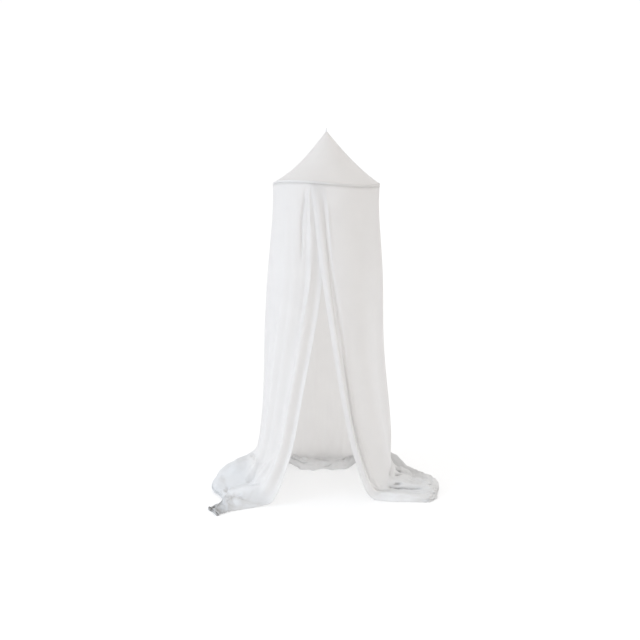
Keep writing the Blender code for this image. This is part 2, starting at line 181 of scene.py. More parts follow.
# How far each lapping edge is moved out or in, at the hoop and lower down
LAP_TOP, LAP_BELOW = 0.0013, 0.0075
LAP_FADES = (0.03, 0.12)  # shares of the width over which that fades

# Pleats that lie on the floor: middle on the curtain's width, half width and height
PLEATS = (
    # share, half_width, height
    (0.080, 0.040, 0.010),
    (0.118, 0.036, 0.014),
    (0.150, 0.034, 0.012),
    (0.185, 0.038, 0.014),
    (0.218, 0.034, 0.010),
    (0.335, 0.060, 0.018),
    (0.395, 0.050, 0.014),
    (0.600, 0.050, 0.014),
    (0.665, 0.060, 0.018),
    (0.725, 0.055, 0.016),
    (0.790, 0.050, 0.014),
    (0.850, 0.045, 0.012),
)
FLAT_CLOTH = 0.012  # height from which the cloth on the floor has its whole pleats
# Heights of the control points of the hanging part
WALL_HEIGHTS = (1.80, 1.70, 1.60, 1.50, 1.38, 1.26, 1.10, 0.95, 0.80, 0.65, 0.52, 0.40, 0.29)
WALL_SPANS = len(WALL_HEIGHTS)  # spline spans of the hanging part
RUN_SPANS = len(PUFFED) - 1  # spline spans of the part on the floor
POOL_STARTS = WALL_SPANS - 1  # on this span folds begin to turn into pleats
POOL_FULL = WALL_SPANS + 5 / 3  # and from this one there are pleats alone

# ---------------------------------------------------------------- sizes of the fine cloth
VOILE = 0.0009  # thickness of the fine cloth
HEM_EXTRA = 0.0009  # how much thicker a turned hem is
EDGE_HEM = 0.022  # width of the hem down each front edge
FOOT_HEM = 0.020  # width of the hem at the foot
THROUGH = 0.68  # how much of the cloth's shader is light that comes through
THROUGH_LAYERS = 0.22  # the same where it lies in layers on the floor
LAYERED = (12.6, 14.6)  # spans over which the cloth turns from one layer into several
PASSED_TINT = (1.0, 0.988, 0.978)  # light gets warmer as it passes
# Painted shade on the cloth on the floor, along the curtain's width: how much it is greyed to stand
# in for the shade that falls over the pooled cloth
PAINTED_POOL_SHADE = (
    # share, near the wall, towards the hem
    (0.000, 0.30, 0.60),
    (0.025, 0.42, 0.45),
    (0.060, 0.55, 0.40),
    (0.100, 0.45, 0.30),
    (0.160, 0.65, 0.35),
    (0.220, 0.90, 0.65),
    (0.330, 1.05, 0.65),
    (0.420, 0.05, 0.45),
    (0.600, 0.05, 0.45),
    (0.720, 0.70, 0.60),
    (0.850, 0.76, 0.76),
    (0.925, 0.70, 0.80),
    (0.945, 0.50, 0.70),
    (0.965, 0.74, 1.45),
    (1.000, 0.74, 1.65),
)
PAINTED_POOL_SHADE_SPANS = (15.4, 17.2)  # over these it changes from near the wall to towards the hem
PAINTED_POOL_SHADE_GREY = 0.26  # how much darker the painted shade makes the cloth at 1
COLUMNS = 310  # points across the fine curtain
COLUMN_SPREAD = (
    (0.0, 0.20, 0.85, 1.0),  # shares of the curtain's width
    (0.0, 0.28, 0.76, 1.0),  # parts of the columns that come before them
)
WALL_ROWS = 62  # points down its hanging part
POOL_ROWS = 94  # and over the floor
HEM_STEP = 0.0008  # from a front hem's inner line to the columns at both sides of it

# Creases and ridges, as half width, how far out (or in) they stand, and the line they follow
# on the cloth: share of its width and spline span. Spans 0 to 13 hang, 13 to 19 run out.
CREASES = (
    # right front edge: the crease behind its hem band, from the hoop to the floor
    (0.008, -0.006, ((0.0300, 0.3), (0.0275, 2.2), (0.0240, 4.6), (0.0200, 6.5), (0.0220, 8.8))),
    (0.013, 0.006, ((0.0410, 0.2), (0.0380, 2.2), (0.0340, 4.6), (0.0310, 7.0))),
    (0.030, 0.019, ((0.0310, 7.4), (0.0315, 10.0), (0.0320, 13.2))),
    # left front edge: the forked pucker under the hoop, the crease beside it, the long ridge
    (0.012, 0.008, ((0.9538, 0.15), (0.9500, 1.2), (0.9440, 2.6))),
    (0.010, 0.007, ((0.9538, 0.25), (0.9590, 1.3), (0.9620, 2.4))),
    (0.014, -0.011, ((0.9395, 0.10), (0.9385, 0.95), (0.9315, 2.2), (0.9340, 4.0))),
    (0.022, -0.007, ((0.9480, 1.2), (0.9470, 3.5), (0.9440, 7.0))),
    (0.009, 0.005, ((0.9670, 3.5), (0.9638, 5.2), (0.9580, 6.5), (0.9550, 8.5))),
    # left mound: its ridge and valley, the level crease in two parts, the side crease, dimples
    (0.014, 0.009, ((0.9210, 12.2), (0.9130, 12.8), (0.9150, 13.3), (0.9290, 14.4))),
    (0.032, 0.013, ((0.9330, 12.0), (0.9250, 12.8), (0.9270, 13.3), (0.9380, 14.2))),
    (0.036, -0.017, ((0.8940, 12.3), (0.8960, 13.2), (0.9140, 14.3))),
    (0.009, -0.009, ((0.9020, 15.5), (0.9170, 15.3), (0.9310, 14.9))),
    (0.009, -0.008, ((0.9350, 14.6), (0.9475, 13.3))),
    (0.018, -0.014, ((0.8930, 15.7), (0.9150, 16.3), (0.9400, 16.6))),
    (0.016, -0.014, ((0.9570, 15.7), (0.9600, 15.3))),
    # the step over the left mound's dome, the dome, and the roll that hangs over the tail
    (0.030, -0.014, ((0.7950, 13.3), (0.8500, 12.9), (0.8880, 12.6))),
    (0.065, 0.015, ((0.7900, 14.9), (0.8400, 14.7), (0.8750, 14.9))),
    (0.030, 0.015, ((0.9350, 17.0), (0.9600, 16.6), (0.9760, 15.6), (0.9800, 14.6))),
    (0.014, -0.010, ((0.9650, 17.8), (0.9850, 17.0), (0.9920, 16.2))),
    (0.012, -0.010, ((0.9690, 15.2), (0.9710, 15.0))),
    (0.045, 0.018, ((0.8750, 16.3), (0.8800, 16.7))),
    # right lobe: where it parts from the wall, the hollow, the swell beside it, small hollows
    # and the crease over the front roll
    (0.020, -0.020, ((0.1650, 12.4), (0.1460, 12.75), (0.1075, 13.0), (0.0740, 13.5))),
    (0.028, -0.044, ((0.1600, 13.2), (0.1460, 13.5), (0.1300, 13.8))),
    (0.030, 0.016, ((0.1750, 13.6), (0.1550, 14.4), (0.1250, 14.6))),
    (0.013, -0.024, ((0.1050, 13.4), (0.1180, 14.0))),
    (0.014, -0.022, ((0.0660, 14.0), (0.0700, 14.5))),
    (0.017, -0.024, (
        (0.0620, 13.4), (0.0540, 14.1), (0.0540, 14.6), (0.0575, 15.3), (0.0620, 16.0))),
    # pleats that fan out over the right lobe
    (0.014, -0.008, ((0.1800, 14.2), (0.1560, 15.9))),
    (0.011, -0.012, ((0.1640, 13.9), (0.1400, 16.4))),
    (0.013, -0.008, ((0.1460, 14.3), (0.1320, 15.6))),
    (0.011, -0.013, ((0.1320, 14.0), (0.1160, 16.6))),
    (0.014, -0.008, ((0.1160, 14.4), (0.1060, 15.8))),
    (0.011, -0.012, ((0.0990, 14.0), (0.0970, 16.7))),
    (0.013, -0.008, ((0.0830, 14.2), (0.0850, 16.0))),
    # the crumpled end of the right hem
    (0.014, -0.009, ((0.0080, 17.2), (0.0350, 17.5))),
    (0.014, 0.009, ((0.0060, 17.7), (0.0300, 17.0))),
    (0.012, -0.008, ((0.0420, 16.6), (0.0480, 17.6))),
)
# The same for the low rolls at the back, as seen from inside: out is towards the middle
BACK_CREASES = (
    (0.010, -0.007, ((0.6260, 14.6), (0.6050, 15.1), (0.5820, 15.2), (0.5600, 14.9))),
    (0.026, 0.012, ((0.6150, 14.0), (0.5850, 14.3), (0.5550, 14.0))),
    (0.010, -0.007, ((0.5450, 14.2), (0.5200, 14.1), (0.4950, 14.3), (0.4750, 14.7))),
    (0.026, 0.012, ((0.5400, 14.9), (0.5100, 14.7), (0.4850, 15.1))),
    (0.010, -0.007, ((0.5050, 15.6), (0.4850, 15.5), (0.4680, 15.0))),
    (0.010, -0.007, ((0.4600, 14.4), (0.4350, 14.5), (0.4050, 14.2))),
    (0.022, 0.010, ((0.4500, 15.0), (0.4250, 15.0), (0.4000, 14.8))),
)
CREASE_ENDS = 0.22  # share of a crease over which each end fades
WIDEST_SHARP = 0.018  # half width up to which creases are sharp; wider ones are soft
SHARPNESS = 1.5  # how steeply a sharp crease falls in from its sides
# Deep creases get painted shade: the cloth is greyed there, and it also lets less light through.
# This goes by the crease's depth, from 0 to 1.
PINCH_FROM, PINCH_FULL = 0.012, 0.042  # depths at which it would be 0 and 1
PINCH_MOST = 0.6  # but it is no more than this
BACK_CREASE_SHADE = 0.35  # and creases between the rolls at the back have this at least
CREASE_SHADE_GREY = 0.75  # how much darker the painted crease shade would make the cloth at 1

# Fine rumples of the cloth on the floor, along the curtain's width
RUMPLES = (
    # share, height
    (0.000, 0.007),
    (0.045, 0.0025),
    (0.150, 0.0015),
    (0.250, 0.005),
    (0.340, 0.006),
    (0.420, 0.003),
    (0.600, 0.003),
    (0.700, 0.004),
    (0.800, 0.0015),
    (0.920, 0.0015),
    (0.960, 0.005),
    (1.000, 0.011),
)
RUMPLE_SIZES = ((0.050, 1.0), (0.024, 0.55))  # width of a rumple, and its share of the height
RUMPLE_LENGTH = 2.2  # how much longer than wide a rumple is, down the cloth
RUMPLE_TOP, RUMPLE_FALL = 0.45, 2.2  # a rumple's crest, and its fall where the noise isn't 0
RUMPLES_LATER = 0.6  # how many spans after the pleats the rumples start
HEM_RUMPLES = 1.6  # how much higher rumples are at the hem
HEM_RUMPLES_FROM = WALL_SPANS + 3  # span from which they get higher
RUMPLE_SEED = 2
UNEVEN_WALL = 0.0018  # soft unevenness of the hanging part
UNEVEN_SIZE = 0.14  # its width
UNEVEN_NARROW = 0.35  # its width as a share of its length down the cloth
UNEVEN_FULL = 2.0  # span from the hoop at which it is whole
UNEVEN_SEED = 5

# Settling of the cloth on the floor
SETTLE_COLUMNS = 240
SETTLE_ROWS = 80
SETTLE_TOP = 10.9  # spline span where the settled part of the curtain starts
SETTLE_FREE = (11.7, 13.5)  # spline spans over which the cloth becomes free to move
SETTLE_FRAMES = 14
SETTLE_FLOOR = 2.0  # half size of the floor under it
SETTLE_GAP = 0.001  # between the cloth and that floor
SETTLE_SELF_GAP = 0.003  # between two layers of the cloth
SETTLE_START = 0.003  # unevenness that the cloth starts with, so that it crumples
SETTLE_START_SIZE = 0.045  # its width
SETTLE_START_WAYS = (0.5, 0.5, 1.0)  # its share in x, y and z
SETTLE_SEED = 1
HOLD_LOSS = 0.75  # how much of its hold on the plain form the loosest cloth loses
GRAVITY = 0.3  # share of real gravity, as the form is already slumped
# How loose the cloth on the floor is along the curtain's width, and how much wider and
# longer it is than the plain form
LOOSE_CLOTH = (
    # share, looseness, extra cloth
    (0.000, 0.45, 0.04),
    (0.030, 0.55, 0.07),
    (0.055, 0.95, 0.18),
    (0.110, 1.00, 0.22),
    (0.220, 1.00, 0.20),
    (0.290, 0.85, 0.14),
    (0.370, 0.70, 0.10),
    (0.430, 0.55, 0.06),
    (0.580, 0.55, 0.06),
    (0.660, 0.80, 0.12),
    (0.740, 0.80, 0.12),
    (0.800, 0.70, 0.07),
    (0.880, 0.70, 0.07),
    (0.925, 0.90, 0.13),
    (0.970, 0.90, 0.15),
    (1.000, 0.80, 0.10),
)
MOST_EXTRA = max(row[2] for row in LOOSE_CLOTH)

# ---------------------------------------------------------------- sizes of the roof and stage
ROOF_SIDES, ROOF_RINGS = 144, 60
RIM_TURNS = (42, 35, 25, 15, 5, -10)  # degrees at which the roof's cloth passes round the rod
# The rim below that, which turns in under its seam
RIM_END = (
    # how far in, how far down as a share of RIM_DROP
    (0.0, 0.6),
    (0.0002, 0.9),
    (0.0018, 1.05),
    (0.0024, 1.3),
)
STITCH_INSET = 0.002  # from a hem's inner line to its stitches
STITCH_LENGTH = 0.0032  # of a stitch and the gap after it
STITCH_SHARE = 0.72  # share of the stitch in that
STITCH_WIDTH = 0.0006
STITCH_GREY = 0.05  # how much darker stitches are
CLOTH_WHITE = (0.913, 0.913, 0.913)

STAGE_GAP = 0.0004  # from the part down to the stage's floor
# From the origin to the stage's sides, front and back, and the backdrop's height
STAGE_SIDE, STAGE_FRONT, STAGE_BACK, STAGE_TOP = 9.0, 6.0, 5.0, 6.0
STAGE_CURVE = 2.5  # radius of the curve from the floor up to the backdrop
STAGE_STEPS = 12  # along that curve
STAGE_GREY = 0.40
STAGE_GLOW = 0.575
WORLD_TINT, WORLD_LIGHT = (1.0, 0.985, 0.97), 1.06
LIT_HEIGHT = 0.9  # above the floor, where the key light aims
KEY_X, KEY_Y, KEY_HEIGHT = -3.7, -2.3, 1.7
KEY_SIZE, KEY_POWER, KEY_TINT = 2.4, 84, (0.68, 0.82, 1.0)

FRAME_WIDTH = 640  # pixels
LENS_PIXELS = 838.7  # focal length in such pixels
SENSOR = 36.0
CAMERA_X = -0.0356
CAMERA_BACK = 4.8
CAMERA_HIGH = 1.80  # above the floor
CAMERA_DOWN = 9.2  # degrees
CAMERA_SEES = 60  # metres


# ---------------------------------------------------------------- small tools
def smooth_step(value, start, end):
    """0 before start, 1 after end, and a soft ramp between them."""
    t = np.clip((value - start) / (end - start), 0, 1)
    return t * t * (3 - 2 * t)


def bump(distance, half_width):
    """A soft ridge that is 1 in its middle and 0 from half_width on."""
    ridge = (1 + np.cos(np.pi * distance / half_width)) / 2
    return np.where(np.abs(distance) < half_width, ridge, 0)


def curve_through(xs, ys, at):
    """A smooth curve through points that never overshoots them, read at the values asked for."""
    xs, ys = np.asarray(xs, float), np.asarray(ys, float)
    slopes = np.diff(ys) / np.diff(xs)
    tangents = np.concatenate([slopes[:1], (slopes[1:] + slopes[:-1]) / 2, slopes[-1:]])
    tangents[1:-1][slopes[1:] * slopes[:-1] <= 0] = 0
    limit = 3 * np.minimum(
        np.abs(np.concatenate([slopes[:1], slopes])),
        np.abs(np.concatenate([slopes, slopes[-1:]])),
    )
    tangents = np.clip(tangents, -limit, limit)
    at = np.clip(at, xs[0], xs[-1])
    i = np.clip(np.searchsorted(xs, at, side="right") - 1, 0, len(xs) - 2)
    step = xs[i + 1] - xs[i]
    t = (at - xs[i]) / step
    return (
        ys[i] * (1 + 2 * t) * (1 - t) ** 2
        + ys[i + 1] * t * t * (3 - 2 * t)
        + tangents[i] * step * t * (1 - t) ** 2
        - tangents[i + 1] * step * t * t * (1 - t)
    )


def column_of(table, number, at):
    """One named column of a table, read smoothly along its first column."""
    rows = sorted(table)
    return curve_through([r[0] for r in rows], [r[number] for r in rows], at)


def hoop_level(azimuth):
    """How far the bent hoop lies above its mean plane."""
    return HOOP_NOD * math.cos(azimuth) - HOOP_SADDLE * math.sin(2 * azimuth)


# ---------------------------------------------------------------- the curtain's form
def wall_point(share, height):
    """The hanging curtain before its folds, as azimuth and radius, at a share of its width."""
    right, back, left = (float(column_of(SECTIONS, k, height)) for k in (1, 2, 3))
    edge_right = [float(column_of(SECTIONS, k, height)) for k in (4, 5)]
    edge_left = [float(column_of(SECTIONS, k, height)) for k in (6, 7)]
    first = math.atan2(edge_right[0], -edge_right[1])
    last = math.atan2(edge_left[0], -edge_left[1]) + math.tau
    azimuth = first + share * (last - first)
    radius = curve_through(
        [first, math.pi / 2, math.pi, 3 * math.pi / 2, last],
        [math.hypot(*edge_right), right, back, left, math.hypot(*edge_left)],
        azimuth,
    )
    return azimuth, float(radius)


def run_polygon(share):
    """Control points of the cloth past the wall: how far out along the run, and how high."""
    leave, shoulder, lip, reach, tuck = (
        float(column_of(POOL, k, share)) for k in (3, 4, 5, 6, 7))
    turned_under = float(smooth_step(lip, LOW_LIP, HIGH_LIP))
    tucked = float(smooth_step(tuck, 0.0, FULL_TUCK))
    points = []
    for puff, roll in zip(PUFFED, TUCKED):
        out_puff = (puff[0] - puff[1] * turned_under) * reach
        high_puff = puff[2] * leave + puff[3] * shoulder + puff[4] * lip
        out_roll = roll[0] * reach + roll[1] * tuck
        high_roll = roll[2] * leave + roll[3] * shoulder
        out = out_puff * (1 - tucked) + out_roll * tucked
        high = high_puff * (1 - tucked) + high_roll * tucked
        points.append((out, max(high, CLOTH / 2)))
    return points


def b_spline(points, at):
    """A cubic B-spline between its end control points, read at spans and parts of spans."""
    p = np.asarray(points, float)
    p = np.vstack([2 * p[0] - p[1], p, 2 * p[-1] - p[-2]])
    i = np.clip(np.floor(at).astype(int), 0, len(p) - 4)
    t = (at - i)[:, None]
    return (
        (1 - t) ** 3 * p[i]
        + (3 * t**3 - 6 * t**2 + 4) * p[i + 1]
        + (-3 * t**3 + 3 * t**2 + 3 * t + 1) * p[i + 2]
        + t**3 * p[i + 3]
    ) / 6


def meridian(share, at):
    """One line of cloth from the hoop to the hem, before its folds."""
    control = []
    for height in WALL_HEIGHTS:
        azimuth, radius = wall_point(share, height)
        level = height + hoop_level(azimuth) * float(smooth_step(height, BENT_ABOVE, HOOP_HEIGHT))
        if height == HOOP_HEIGHT:
            level -= RIM_DROP + SEAM_GAP
        control.append((radius * math.sin(azimuth), -radius * math.cos(azimuth), level))
    azimuth, radius = wall_point(share, 0.0)
    run, turn, reach = (float(column_of(POOL, k, share)) for k in (1, 2, 6))
    x, y = radius * math.sin(azimuth), -radius * math.cos(azimuth)
    past = 0.0
    for out, high in run_polygon(share):
        heading = math.radians(run + turn * max(out, past) / reach)
        x += (out - past) * math.sin(heading)
        y -= (out - past) * math.cos(heading)
        past = out
        control.append((x, y, high))
    return b_spline(control, at)


def curtain_grid(shares, at):
    """The curtain's points[row][column] with folds and pleats, and heights above the floor."""
    grid = np.stack([meridian(share, at) for share in shares], axis=1)
    down = np.clip(1 - grid[..., 2] / HOOP_HEIGHT, 0, 1)
    pooled = smooth_step(at, POOL_STARTS, POOL_FULL)[:, None]
    offset = np.zeros(down.shape)
    for top, hem, half_width, out_top, out_hem in FOLDS:
        middle = top + (hem - top) * down
        depth = out_top + (out_hem - out_top) * smooth_step(down, 0.0, FOLDS_FULL)
        depth = depth * smooth_step(down, 0.0, FOLDS_FREE)
        offset += depth * bump((shares - middle) * CURTAIN_WIDTH, half_width)
    azimuths = np.arctan2(grid[..., 0], -grid[..., 1])
    outwards = np.stack([np.sin(azimuths), -np.cos(azimuths), np.zeros_like(azimuths)], axis=-1)
    lap = LAP_TOP + (LAP_BELOW - LAP_TOP) * smooth_step(down, 0.0, LAP_OPEN)
    lap = lap * (1 - smooth_step(down, *LAP_ENDS))
    side = smooth_step(1 - shares, *LAP_FADES) - smooth_step(shares, *LAP_FADES)
    grid += outwards * (offset * (1 - pooled) + lap * side)[..., None]
    lift = np.zeros(len(shares))
    for share, half_width, height in PLEATS:
        lift += height * bump((shares - share) * CURTAIN_WIDTH, half_width)
    grid[..., 2] += lift * pooled * smooth_step(grid[..., 2], CLOTH / 2, FLAT_CLOTH)
    grid[..., 2] = np.maximum(grid[..., 2], CLOTH / 2)
    return grid


# ---------------------------------------------------------------- materials
def new_material(name):
    """A material with its node tree and its Principled shader."""
    made = bpy.data.materials.new(name)
    made.use_nodes = True
    return made, made.node_tree, made.node_tree.nodes["Principled BSDF"]


def feed(tree, socket, value):
    """Links a socket to another one, or sets it to a plain number or colour."""
    if isinstance(value, bpy.types.NodeSocket):
        tree.links.new(value, socket)
    else:
        socket.default_value = value


def math_node(tree, operation, *values):
    node = tree.nodes.new("ShaderNodeMath")
    node.operation = operation
    for socket, value in zip(node.inputs, values):
        feed(tree, socket, value)
    return node.outputs[0]


def colour_mix(tree, blend, factor, first, second):
    node = tree.nodes.new("ShaderNodeMix")
    node.data_type = "RGBA"
    node.blend_type = blend
    for name, value in (("Factor", factor), ("A", first), ("B", second)):
        feed(tree, node.inputs[name], value)
    return node.outputs["Result"]


def ranged(tree, value, out_low, out_high, low=0.0, high=1.0):
    """A value that runs from out_low to out_high as the given one runs from low to high."""
    node = tree.nodes.new("ShaderNodeMapRange")
    given = (("Value", value), ("From Min", low), ("From Max", high),
             ("To Min", out_low), ("To Max", out_high))
    for name, number in given:
        feed(tree, node.inputs[name], number)
    return node.outputs["Result"]


def attribute_value(tree, name):
    """A value that the mesh carries at its points."""
    node = tree.nodes.new("ShaderNodeAttribute")
    node.attribute_name = name
    return node.outputs["Fac"]


def noise_value(tree, coordinates, scale, detail, stretch=None):
    """Noise from 0 to 1; stretch says how fine it is in each direction."""
    if stretch:
        mapping = tree.nodes.new("ShaderNodeMapping")
        mapping.inputs["Scale"].default_value = stretch
        tree.links.new(coordinates, mapping.inputs["Vector"])
        coordinates = mapping.outputs["Vector"]
    node = tree.nodes.new("ShaderNodeTexNoise")
    node.inputs["Scale"].default_value = scale
    node.inputs["Detail"].default_value = detail
    tree.links.new(coordinates, node.inputs["Vector"])
    return node.outputs["Fac"]


def weave_value(tree, coordinates, pitch):
    """Threads that cross at right angles, as a height from 0 to 1."""
    waves = []
    for direction in ("X", "Y"):
        node = tree.nodes.new("ShaderNodeTexWave")
        node.bands_direction = direction
        node.inputs["Scale"].default_value = math.tau / 20 / pitch  # one wave in each pitch
        node.inputs["Distortion"].default_value = 0.6
        node.inputs["Detail"].default_value = 1.0
        tree.links.new(coordinates, node.inputs["Vector"])
        waves.append(node.outputs["Fac"])
    return math_node(tree, "MULTIPLY", *waves)


def stitch_value(tree, edge_name, along, hem):
    """Dashes of thread along a hem, from the value that says how far its edge is."""
    inwards = attribute_value(tree, edge_name)
    near = math_node(tree, "ABSOLUTE", math_node(tree, "SUBTRACT", inwards, hem - STITCH_INSET))
    near = math_node(tree, "LESS_THAN", near, STITCH_WIDTH / 2)
    dash = math_node(tree, "FRACT", math_node(tree, "DIVIDE", along, STITCH_LENGTH))
    dash = math_node(tree, "LESS_THAN", dash, STITCH_SHARE)
    return math_node(tree, "MULTIPLY", near, dash)


def bump_node(tree, height, distance, strength, below=None):
    """A normal for relief of the given depth in metres, on top of the relief below it."""
    node = tree.nodes.new("ShaderNodeBump")
    node.inputs["Distance"].default_value = distance
    node.inputs["Strength"].default_value = strength
    tree.links.new(height, node.inputs["Height"])
    if below:
        tree.links.new(below, node.inputs["Normal"])
    return node.outputs["Normal"]


def voile():
    """Fine plain-woven cotton that lets part of the light through."""
    made, tree, shader = new_material("cotton_voile")
    nodes, links = tree.nodes, tree.links
    cloth = nodes.new("ShaderNodeUVMap")
    cloth.uv_map = "cloth"
    metres = cloth.outputs["UV"]
    separate = nodes.new("ShaderNodeSeparateXYZ")
    links.new(metres, separate.inputs["Vector"])
    # threads of uneven thickness both ways, on soft clouds
    clouds = noise_value(tree, metres, scale=9.0, detail=4.0)
    slubs = noise_value(tree, metres, scale=1.0, detail=2.0, stretch=(900.0, 14.0, 1.0))
    picks = noise_value(tree, metres, scale=1.0, detail=2.0, stretch=(14.0, 900.0, 1.0))
    threads = math_node(tree, "ADD", slubs, picks)
    mottled = math_node(tree, "ADD", clouds, math_node(tree, "MULTIPLY", threads, 0.5))
    shade = ranged(tree, mottled, 0.965, 1.0, low=0.6, high=1.5)
    stitches = math_node(
        tree, "MAXIMUM",
        stitch_value(tree, "edge_distance", separate.outputs["Y"], EDGE_HEM),
        stitch_value(tree, "foot_distance", separate.outputs["X"], FOOT_HEM))
    # painted shade: the cloth on the floor and in deep creases is greyed to stand in for shade, not
    # for a colour of its own
    painted_pool_shade = math_node(tree, "MULTIPLY", attribute_value(tree, "painted_pool_shade"), PAINTED_POOL_SHADE_GREY)
    # painted shade in deep creases
    crease_shade_and_layers = math_node(tree, "MULTIPLY", attribute_value(tree, "crease_shade_and_layers"), CREASE_SHADE_GREY)
    darker = math_node(tree, "ADD", painted_pool_shade, crease_shade_and_layers)
    darker = math_node(tree, "ADD", darker, math_node(tree, "MULTIPLY", stitches, STITCH_GREY))
    shade = math_node(tree, "SUBTRACT", shade, darker)
    surface = colour_mix(tree, "MULTIPLY", 1.0, (*CLOTH_WHITE, 1), shade)
    crepe = noise_value(tree, metres, scale=70.0, detail=5.0)
    weave = weave_value(tree, metres, pitch=0.00055)
    relief = bump_node(tree, crepe, distance=0.0008, strength=0.35)
    relief = bump_node(tree, threads, distance=0.00012, strength=0.5, below=relief)
    relief = bump_node(tree, weave, distance=0.00005, strength=0.5, below=relief)
    relief = bump_node(tree, stitches, distance=0.0003, strength=0.8, below=relief)
    links.new(surface, shader.inputs["Base Color"])
    links.new(relief, shader.inputs["Normal"])
    shader.inputs["Roughness"].default_value = 0.85
    shader.inputs["Specular IOR Level"].default_value = 0.25
    shader.inputs["Sheen Weight"].default_value = 0.12
    shader.inputs["Sheen Roughness"].default_value = 0.5
    # light that comes through, less of it where the cloth lies in layers
    passed = nodes.new("ShaderNodeBsdfTranslucent")
    links.new(colour_mix(tree, "MULTIPLY", 1.0, surface, (*PASSED_TINT, 1)), passed.inputs["Color"])
    links.new(relief, passed.inputs["Normal"])
    kept = math_node(tree, "MULTIPLY", attribute_value(tree, "layered"), THROUGH - THROUGH_LAYERS)
    both = nodes.new("ShaderNodeMixShader")
    links.new(math_node(tree, "SUBTRACT", THROUGH, kept), both.inputs["Fac"])
    links.new(shader.outputs["BSDF"], both.inputs[1])
    links.new(passed.outputs["BSDF"], both.inputs[2])
    links.new(both.outputs["Shader"], nodes["Material Output"].inputs["Surface"])
    return made


def tape_material():
    """Narrow woven cotton tape."""
    made, tree, shader = new_material("cotton_tape")
    place = tree.nodes.new("ShaderNodeTexCoord").outputs["Object"]
    fibres = noise_value(tree, place, scale=1.0, detail=3.0, stretch=(2500.0, 900.0, 900.0))
    ribs = weave_value(tree, place, pitch=0.0005)
    shade = ranged(tree, fibres, 0.92, 1.0)
    surface = colour_mix(tree, "MULTIPLY", 1.0, (0.74, 0.74, 0.735, 1), shade)
    relief = bump_node(tree, fibres, distance=0.0002, strength=0.5)
    relief = bump_node(tree, ribs, distance=0.00015, strength=0.8, below=relief)
    tree.links.new(surface, shader.inputs["Base Color"])
    tree.links.new(relief, shader.inputs["Normal"])
    shader.inputs["Roughness"].default_value = 0.85
    return made


def rod_material():
    """Plain white plastic rod with faint draw marks."""
    made, tree, shader = new_material("white_rod")
    place = tree.nodes.new("ShaderNodeTexCoord").outputs["Object"]
    marks = noise_value(tree, place, scale=220.0, detail=4.0)
    surface = colour_mix(tree, "MIX", marks, (0.88, 0.88, 0.87, 1), (0.92, 0.92, 0.91, 1))
    tree.links.new(surface, shader.inputs["Base Color"])
    tree.links.new(ranged(tree, marks, 0.38, 0.52), shader.inputs["Roughness"])
    relief = bump_node(tree, marks, distance=0.0001, strength=0.3)
    tree.links.new(relief, shader.inputs["Normal"])
    return made


# ---------------------------------------------------------------- sheets of cloth
def grid_mesh(name, points, closed=False):
    """A mesh of quads through points[row][column]."""
    rows, columns = points.shape[:2]
    index = np.arange(rows * columns).reshape(rows, columns)
    right = np.roll(index, -1, axis=1) if closed else index[:, 1:]
    left = index if closed else index[:, :-1]
    faces = np.stack([left[:-1], left[1:], right[1:], right[:-1]], axis=-1).reshape(-1, 4)
    mesh = bpy.data.meshes.new(name)
    mesh.from_pydata(points.reshape(-1, 3).tolist(), [], faces.tolist())
    mesh.update()
    return mesh


def give_uv(mesh, across, along):
    """Stores metres across and along the cloth for each corner."""
    layer = mesh.uv_layers.new(name="cloth")
    corner = np.empty(len(mesh.loops), np.int32)
    mesh.loops.foreach_get("vertex_index", corner)
    uv = np.stack([across.reshape(-1)[corner], along.reshape(-1)[corner]], axis=-1)
    layer.data.foreach_set("uv", uv.astype(np.float32).reshape(-1))


def give_value(mesh, name, values):
    """Stores a value at each point for the material."""
    made = mesh.attributes.new(name, "FLOAT", "POINT")
    made.data.foreach_set("value", values.astype(np.float32).reshape(-1))


def link(name, mesh, material):
    """Puts a mesh in the scene as an object of its own."""
    made = bpy.data.objects.new(name, mesh)
    bpy.context.scene.collection.objects.link(made)
    mesh.materials.append(material)
    mesh.shade_smooth()
    return made


def thicken(piece, hem):
    """Turns a surface into thin cloth that is thicker where hem is 1."""
    group = piece.vertex_groups.new(name="hem")
    for index in np.flatnonzero(hem.reshape(-1) > 0.5).tolist():
        group.add([index], 1.0, "REPLACE")
    solid = piece.modifiers.new("thickness", "SOLIDIFY")
    solid.thickness = VOILE + HEM_EXTRA
    solid.offset = 0
    solid.vertex_group = "hem"
    solid.thickness_vertex_group = VOILE / (VOILE + HEM_EXTRA)


def along_columns(points):
    """Length of cloth from the first row to each point, down each column."""
    steps = np.linalg.norm(np.diff(points, axis=0), axis=2)
    return np.vstack([np.zeros((1, points.shape[1])), np.cumsum(steps, axis=0)])


# ---------------------------------------------------------------- settling on the floor
def between(count, at):
    """Weights that smoothly read a row of count even samples at places from 0 to count - 1."""
    first = np.clip(np.floor(at).astype(int), 0, count - 2)
    t = at - first
    weights = np.zeros((len(at), count))
    parts = (
        (-1, (-t + 2 * t**2 - t**3) / 2),
        (0, (2 - 5 * t**2 + 3 * t**3) / 2),
        (1, (t + 4 * t**2 - 3 * t**3) / 2),
        (2, (-(t**2) + t**3) / 2),
    )
    for step, part in parts:
        np.add.at(weights, (np.arange(len(at)), np.clip(first + step, 0, count - 1)), part)
    return weights


def uneven(points, size, seed):
    """Soft noise from -1 to 1 at each point, with features of a given size."""
    shift = Vector((seed * 17.3, seed * 5.1, seed * 9.7))
    flat = points.reshape(-1, 3)
    values = [noise.noise(Vector(p) / size + shift) for p in flat.tolist()]
    return np.array(values).reshape(points.shape[:-1])


